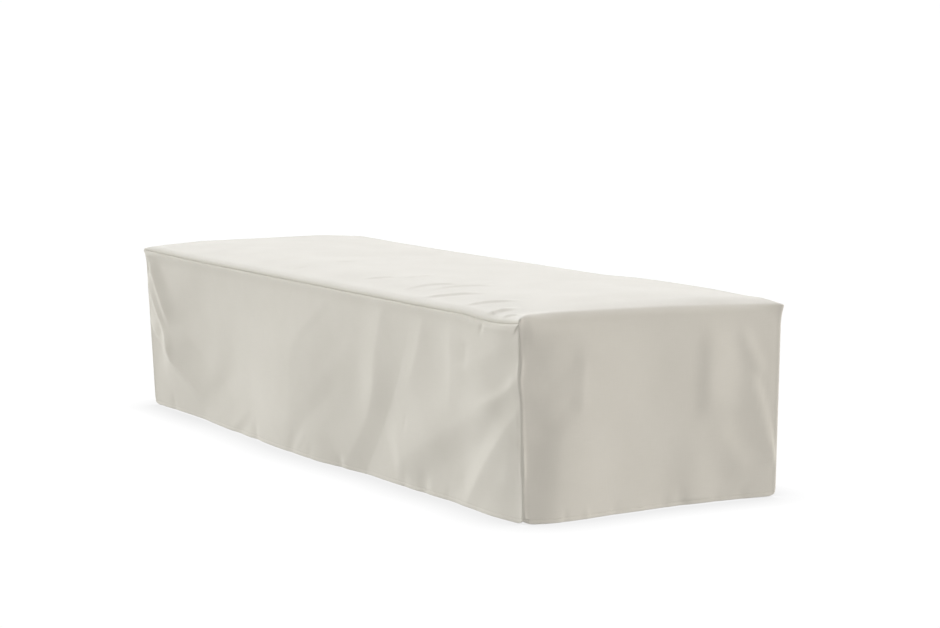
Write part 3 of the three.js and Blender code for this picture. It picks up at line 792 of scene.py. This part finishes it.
# How often the canvas's tone changes in a metre, along a yarn, across it, and in the mottling.
YARN_RUN = 25.0
YARN_COUNT = 900.0
MOTTLE_COUNT = 7.0

WEAVE_TONE = 0.25  # how much the crossings of the yarns alter the tone
RELIEF = {"weave": 0.5, "yarn": 0.3, "mottle": 4.0}  # how high each stands


def canvas_material(name, cloth):
    """Warm off-white woven canvas: yarns that cross, uneven in tone, with a faint bloom."""
    material, tree = new_material(name)
    way = tree.node("ShaderNodeUVMap", {"uv_map": "cloth"})
    long_way = tree.node("ShaderNodeSeparateXYZ", inputs={0: way})
    cross_way = tree.other_output(long_way, "Y")
    turns = math.pi / cloth.weave_pitch
    weave = (long_way * turns).math("SINE") * (cross_way * turns).math("SINE")

    def streaks(scale_long, scale_cross, detail):
        scales = {0: way, 1: (scale_long, scale_cross, 1.0)}
        stretched = tree.node("ShaderNodeVectorMath", {"operation": "MULTIPLY"}, scales)
        noise = {"Vector": stretched, "Scale": 1.0, "Detail": detail}
        return tree.node("ShaderNodeTexNoise", {"noise_dimensions": "2D"}, noise)

    warp = streaks(YARN_RUN, YARN_COUNT, 2.0)
    weft = streaks(YARN_COUNT, YARN_RUN, 2.0)
    mottle = streaks(MOTTLE_COUNT, MOTTLE_COUNT, 3.0)
    tone = (warp + weft - 1.0) * cloth.yarn_contrast + (mottle - 0.5) * cloth.mottle
    tone = tone + weave * (WEAVE_TONE * cloth.yarn_contrast)
    colour = tree.blend(0.5 + tone, cloth.shade, cloth.tint)
    relief = weave * RELIEF["weave"] + warp * RELIEF["yarn"] + weft * RELIEF["yarn"]
    relief = relief + mottle * RELIEF["mottle"]
    bump = tree.node("ShaderNodeBump", None, {"Strength": 0.35, "Distance": 0.0003, "Height": relief})
    shader = tree.node(
        "ShaderNodeBsdfPrincipled",
        None,
        {
            "Base Color": colour,
            "Roughness": 0.86 + mottle * 0.1,
            "Normal": bump,
            "Specular IOR Level": 0.3,
            "Sheen Weight": 0.08,
            "Sheen Roughness": 0.5,
        },
    )
    tree.node("ShaderNodeOutputMaterial", None, {"Surface": shader})
    return material


def thread_material(cloth):
    """Polyester sewing thread, a little whiter and glossier than the canvas."""
    material, tree = new_material("sewing_thread")
    place = tree.node("ShaderNodeTexCoord", output="Object")
    ply = tree.node("ShaderNodeTexNoise", None, {"Vector": place, "Scale": 2500.0, "Detail": 1.0})
    colour = tree.blend(ply, cloth.shade, cloth.thread)
    looks = {"Base Color": colour, "Roughness": 0.6 + ply * 0.1}
    shader = tree.node("ShaderNodeBsdfPrincipled", None, looks)
    tree.node("ShaderNodeOutputMaterial", None, {"Surface": shader})
    return material


def stitch_tree():
    """Geometry nodes that lay stitches end to end along a seam line."""
    group = bpy.data.node_groups.new("stitches_along_a_line", "GeometryNodeTree")
    tree = Tree(group)
    group.interface.new_socket("Line", in_out="INPUT", socket_type="NodeSocketGeometry")
    kinds = dict.fromkeys(("Pitch", "Stitch length", "Thread width"), "NodeSocketFloat")
    kinds["Thread"] = "NodeSocketMaterial"
    sizes = {}
    for name, kind in kinds.items():
        socket = group.interface.new_socket(name, in_out="INPUT", socket_type=kind)
        sizes[name] = socket.identifier
    group.interface.new_socket("Stitches", in_out="OUTPUT", socket_type="NodeSocketGeometry")
    line = tree.node("NodeGroupInput", output="Line")
    pitch, length, width, thread = (tree.other_output(line, name) for name in sizes)
    points = tree.node("GeometryNodeCurveToPoints", {"mode": "LENGTH"}, {"Curve": line, "Length": pitch})
    bead = tree.node("GeometryNodeMeshUVSphere", None, {"Segments": 6, "Rings": 4, "Radius": 0.5})
    size = tree.node("ShaderNodeCombineXYZ", None, {0: width, 1: width, 2: length})
    stitch = tree.node("GeometryNodeTransform", None, {"Geometry": bead, "Scale": size})
    laying = {"Points": points, "Instance": stitch, "Rotation": tree.other_output(points, "Rotation")}
    laid = tree.node("GeometryNodeInstanceOnPoints", None, laying)
    real = tree.node("GeometryNodeRealizeInstances", None, {"Geometry": laid})
    dyed = tree.node("GeometryNodeSetMaterial", None, {"Geometry": real, "Material": thread})
    tree.node("NodeGroupOutput", None, {"Stitches": dyed})
    return group, sizes


def stitch_piece(name, lines, cut, thread, group, sizes):
    """One mesh of all the stitches along some lines."""
    curve = bpy.data.curves.new(name + "_line", "CURVE")
    curve.dimensions = "3D"
    for points in lines:
        spline = curve.splines.new("POLY")
        spline.points.add(len(points) - 1)
        flat = np.concatenate([points * MM, np.ones((len(points), 1))], 1)
        spline.points.foreach_set("co", flat.astype(np.float32).ravel())
    line = add_object(name + "_line", curve)
    modifier = line.modifiers.new("stitches", "NODES")
    modifier.node_group = group
    modifier[sizes["Pitch"]] = cut.stitch_pitch
    modifier[sizes["Stitch length"]] = cut.stitch_length
    modifier[sizes["Thread width"]] = cut.thread_width
    modifier[sizes["Thread"]] = thread
    bpy.context.view_layer.update()
    evaluated = line.evaluated_get(bpy.context.evaluated_depsgraph_get())
    mesh = bpy.data.meshes.new_from_object(evaluated)
    if not len(mesh.polygons):
        raise RuntimeError(name + " came out empty")
    bpy.data.objects.remove(line)
    mesh.name = name
    for polygon in mesh.polygons:
        polygon.use_smooth = True
    return add_object(name, mesh)


def number_property(name, description, default, **settings):
    return FloatProperty(name=name, description=description, default=default, **settings)


def size_property(name, description, default, **limits):
    return number_property(name, description, default, unit="LENGTH", **limits)


def colour_property(name, description, default):
    return FloatVectorProperty(
        name=name, description=description, default=default, size=3, min=0, max=1, subtype="COLOR"
    )


class CoverCut(PropertyGroup):
    """Sizes of the sewn cover."""

    cloth_thickness: size_property(
        "Cloth thickness", "Thickness of the canvas", 0.0015, min=0.001, max=0.003
    )
    crown_rise: size_property("Crown", "How far the top swells between its edges", 0.010)
    top_roll_rise: size_property("Top roll rise", "Height of the roll beside the long seams", 0.016)
    top_roll_run: size_property("Top roll run", "Width of the roll beside the long seams", 0.022)
    roll_bulge: size_property("Roll bulge", "How far the top's roll bulges over its seam", 0.0022)
    end_roll_rise: size_property("End roll rise", "How far an end stands proud of its seams", 0.0014)
    end_roll_run: size_property("End roll run", "Width of the roll beside a corner seam", 0.022)
    seam_depth: size_property("Seam depth", "How far the seams draw the cloth in", 0.0004)
    lip_rise: size_property("Seam lip", "Ridge of a side panel beside its seams", 0.003)
    hem_depth: size_property("Hem depth", "From the hem's edge to its stitches", 0.009)
    hem_swell: size_property("Hem swell", "How far the turned-up hem swells", 0.0003)
    hem_draw: size_property("Hem draw", "How far the stitches draw the hem in", 0.0004)
    stitch_pitch: size_property("Stitch pitch", "From one stitch to the next", 0.0045)
    stitch_length: size_property("Stitch length", "Length of one stitch", 0.0036)
    thread_width: size_property("Thread width", "Width of the thread", 0.0007)


class CoverCloth(PropertyGroup):
    """Colours and weave of the canvas."""

    tint: colour_property("Light yarn", "Colour of the lightest yarns", (0.83, 0.805, 0.755))
    shade: colour_property("Dark yarn", "Colour of the darkest yarns", (0.77, 0.745, 0.69))
    thread: colour_property("Thread", "Colour of the sewing thread", (0.80, 0.775, 0.72))
    weave_pitch: size_property("Weave pitch", "From one yarn to the next", 0.0009)
    yarn_contrast: number_property("Yarn contrast", "How yarns differ in tone", 0.5, min=0, max=2)
    mottle: number_property("Mottle", "How much the tone wanders over the cloth", 0.9, min=0, max=3)


class CoverStudio(PropertyGroup):
    """Light and floor of the studio."""

    sky: number_property("Sky", "Light from all round", 0.08, min=0)
    floor_bounce: number_property("Floor bounce", "Light that the floor throws up", 0.34, min=0)
    floor_seen: number_property("Floor brightness", "Brightness of the open floor", 1.02, min=0)
    # brightness of the floor in its painted contact shadow beside the hem, and the width of that painted
    # shadow
    painted_contact_shadow: number_property("Contact tone", "Brightness of the floor at the hem", 0.66, min=0)
    contact_reach: size_property("Contact reach", "Width of the soft shade beside the hem", 0.13)


LIGHTS = table(
    ("name", "towards", "strength", "softness", "colour"),
    ("left_softbox", (-0.92, -0.24, 0.28), 0.74, 40, (0.97, 0.985, 0.98)),
    ("front_softbox", (-0.25, -0.93, 0.25), 0.42, 40, (1.0, 0.985, 0.92)),
    ("right_softbox", (0.62, 0.72, 0.30), 0.61, 40, (1.0, 0.97, 0.91)),
    ("right_fill", (0.97, 0.00, 0.25), 0.16, 60, (1.0, 0.965, 0.90)),
    ("top_softbox", (-0.50, 0.50, 0.70), 0.575, 60, (0.92, 0.945, 1.0)),
)

FLOOR_REACH = 40.0
FLOOR_TINT = (1.0, 0.985, 0.95, 1.0)  # of the light that it throws up

CAMERA = {"place": (5.72, -3.31, 1.15), "azimuth": 58.98, "elevation": 6.81, "lens": 93.9}

# Each panel with the node that it stands for, its finish in the record, and its cut size.
PANELS = table(
    ("piece", "node", "slot", "flat", "rests_on"),
    ("band_cloth", "band_panel", "band_canvas", (0.755, 3.10), ()),
    ("front_cloth", "side_panel_front", "front_canvas", (0.475, 2.16), ("band_cloth",)),
    ("back_cloth", "side_panel_back", "back_canvas", (0.475, 2.16), ("band_cloth",)),
)


def finish_panel(piece):
    row = next(row for row in PANELS if row["piece"] == piece.name)
    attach(piece, "root")
    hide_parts(row["node"])


class COVER_OT_band_panel(Operator):
    """Hang the band that runs up one end, along the top and down the other end"""

    bl_idname = "cover.band_panel"
    bl_label = "Band panel"

    def execute(self, context):
        cut = context.scene.cover_cut
        outer = band_surface(cut, band_rows(), band_columns(cut))
        material = canvas_material("band_canvas", context.scene.cover_cloth)
        finish_panel(cloth_mesh("band_cloth", outer, True, cut, material))
        return {"FINISHED"}


class COVER_OT_side_panel(Operator):
    """Hang a long side panel between the band's edge and the floor"""

    bl_idname = "cover.side_panel"
    bl_label = "Side panel"

    side: EnumProperty(
        name="Side",
        description="Which long side the panel hangs on",
        items=(("front", "Front", "Towards -Y"), ("back", "Back", "Towards +Y")),
    )

    def execute(self, context):
        cut = context.scene.cover_cut
        outer = side_surface(cut, self.side, *side_shares())
        material = canvas_material(self.side + "_canvas", context.scene.cover_cloth)
        finish_panel(cloth_mesh(self.side + "_cloth", outer, self.side == "back", cut, material))
        return {"FINISHED"}


class COVER_OT_hem_stitches(Operator):
    bl_idname = "cover.hem_stitches"
    bl_label = "Hem stitches"

    def execute(self, context):
        cut = context.scene.cover_cut
        thread = thread_material(context.scene.cover_cloth)
        group, sizes = stitch_tree()
        depth = cut.hem_depth / MM
        up = depth / SEAM_HEIGHT
        lines = {"band_cloth": []}
        for end, share, sign in (("farEnd", up, -1), ("nearEnd", 1 - up, 1)):
            rows = (np.array([STRETCHES.index(end)]), np.array([share]))
            hem = band_surface(cut, rows, np.linspace(*HEM_LINES["band"]))[0]
            lines["band_cloth"].append(hem + np.array([sign * STITCH_PROUD, 0, 0]))
        for side, sign in (("front", -1), ("back", 1)):
            share = np.array([depth / SIDE_HEIGHT])
            hem = side_surface(cut, side, share, np.linspace(*HEM_LINES["side"]))[0]
            lines[side + "_cloth"] = [hem + np.array([0, sign * STITCH_PROUD, 0])]
        for row in PANELS:
            name = row["piece"].replace("cloth", "hem_stitches")
            piece = stitch_piece(name, lines[row["piece"]], cut, thread, group, sizes)
            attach(piece, "root")
        return {"FINISHED"}


class COVER_OT_studio(Operator):
    """Set up the floor, the soft lights and the camera"""

    bl_idname = "cover.studio"
    bl_label = "Studio"

    def execute(self, context):
        studio = context.scene.cover_studio
        self.floor(studio)
        self.lights(context.scene, studio)
        self.camera(context.scene)
        context.scene.view_settings.view_transform = "Standard"
        return {"FINISHED"}

    def floor(self, studio):
        mesh = bpy.data.meshes.new("floor")
        square = ((-1, -1), (1, -1), (1, 1), (-1, 1))
        corners = [(x * FLOOR_REACH, y * FLOOR_REACH, 0) for x, y in square]
        mesh.from_pydata(corners, [], [(0, 1, 2, 3)])
        material, tree = new_material("pale_floor")
        # the floor glows instead of being lit; beside the hem ambient occlusion dims that glow as the
        # camera sees it, a painted contact shadow
        reach = {"Distance": studio.contact_reach}
        open_sky = tree.node("ShaderNodeAmbientOcclusion", {"samples": 16}, reach, output="AO")
        seen = studio.painted_contact_shadow + open_sky * (studio.floor_seen - studio.painted_contact_shadow)
        seen_directly = tree.node("ShaderNodeLightPath", output="Is Camera Ray")
        strength = seen * seen_directly + (1 - seen_directly) * studio.floor_bounce
        warm = {"Color": FLOOR_TINT, "Strength": strength}
        glow = tree.node("ShaderNodeEmission", None, warm)
        white = tree.node("ShaderNodeEmission", None, {"Strength": strength})
        pick = tree.node("ShaderNodeMixShader", None, {0: seen_directly, 1: glow, 2: white})
        tree.node("ShaderNodeOutputMaterial", None, {"Surface": pick})
        mesh.materials.append(material)
        add_object("floor", mesh)

    def lights(self, scene, studio):
        for row in LIGHTS:
            lamp = bpy.data.lights.new(row["name"], "SUN")
            lamp.energy = row["strength"] * math.pi
            lamp.angle = math.radians(row["softness"])
            lamp.color = row["colour"]
            light = add_object(row["name"], lamp)
            light.rotation_euler = Vector(row["towards"]).to_track_quat("Z", "Y").to_euler()
        world = bpy.data.worlds.new("studio")
        world.use_nodes = True
        scene.world = world
        tree = Tree(world.node_tree)
        seen_directly = tree.node("ShaderNodeLightPath", output="Is Camera Ray")
        strength = seen_directly * (studio.floor_seen - studio.sky) + studio.sky
        light = tree.node("ShaderNodeBackground", None, {"Strength": strength, "Color": (1, 1, 1, 1)})
        tree.node("ShaderNodeOutputWorld", None, {"Surface": light})

    def camera(self, scene):
        data = bpy.data.cameras.new("camera")
        data.sensor_width = 36.0
        data.lens = CAMERA["lens"]
        camera = add_object("camera", data)
        camera.location = CAMERA["place"]
        turn = (90 - CAMERA["elevation"], 0, CAMERA["azimuth"])
        camera.rotation_euler = Euler([math.radians(angle) for angle in turn])
        scene.camera = camera


class COVER_PT_sidebar(Panel):
    """Lists the cover's pieces and sizes"""

    bl_idname = "COVER_PT_sidebar"
    bl_label = "Chaise cover"
    bl_space_type = "VIEW_3D"
    bl_region_type = "UI"
    bl_category = "Cover"

    def draw(self, context):
        layout = self.layout
        layout.operator(COVER_OT_band_panel.bl_idname)
        for side in ("front", "back"):
            layout.operator(COVER_OT_side_panel.bl_idname, text=side.title() + " panel").side = side
        layout.operator(COVER_OT_hem_stitches.bl_idname)
        layout.operator(COVER_OT_studio.bl_idname)
        for group in (context.scene.cover_cut, context.scene.cover_cloth, context.scene.cover_studio):
            box = layout.box()
            for name in group.bl_rna.properties.keys():
                if name not in ("rna_type", "name"):
                    box.prop(group, name)


CLASSES = (
    CoverCut,
    CoverCloth,
    CoverStudio,
    COVER_OT_band_panel,
    COVER_OT_side_panel,
    COVER_OT_hem_stitches,
    COVER_OT_studio,
    COVER_PT_sidebar,
)


def register():
    for kind in CLASSES:
        bpy.utils.register_class(kind)
    bpy.types.Scene.cover_cut = PointerProperty(type=CoverCut)
    bpy.types.Scene.cover_cloth = PointerProperty(type=CoverCloth)
    bpy.types.Scene.cover_studio = PointerProperty(type=CoverStudio)


def unregister():
    del bpy.types.Scene.cover_studio
    del bpy.types.Scene.cover_cloth
    del bpy.types.Scene.cover_cut
    for kind in reversed(CLASSES):
        bpy.utils.unregister_class(kind)


def main():
    register()
    bpy.ops.cover.studio()
    bpy.ops.cover.band_panel()
    bpy.ops.cover.side_panel(side="front")
    bpy.ops.cover.side_panel(side="back")
    bpy.ops.cover.hem_stitches()


if __name__ == "__main__":
    main()
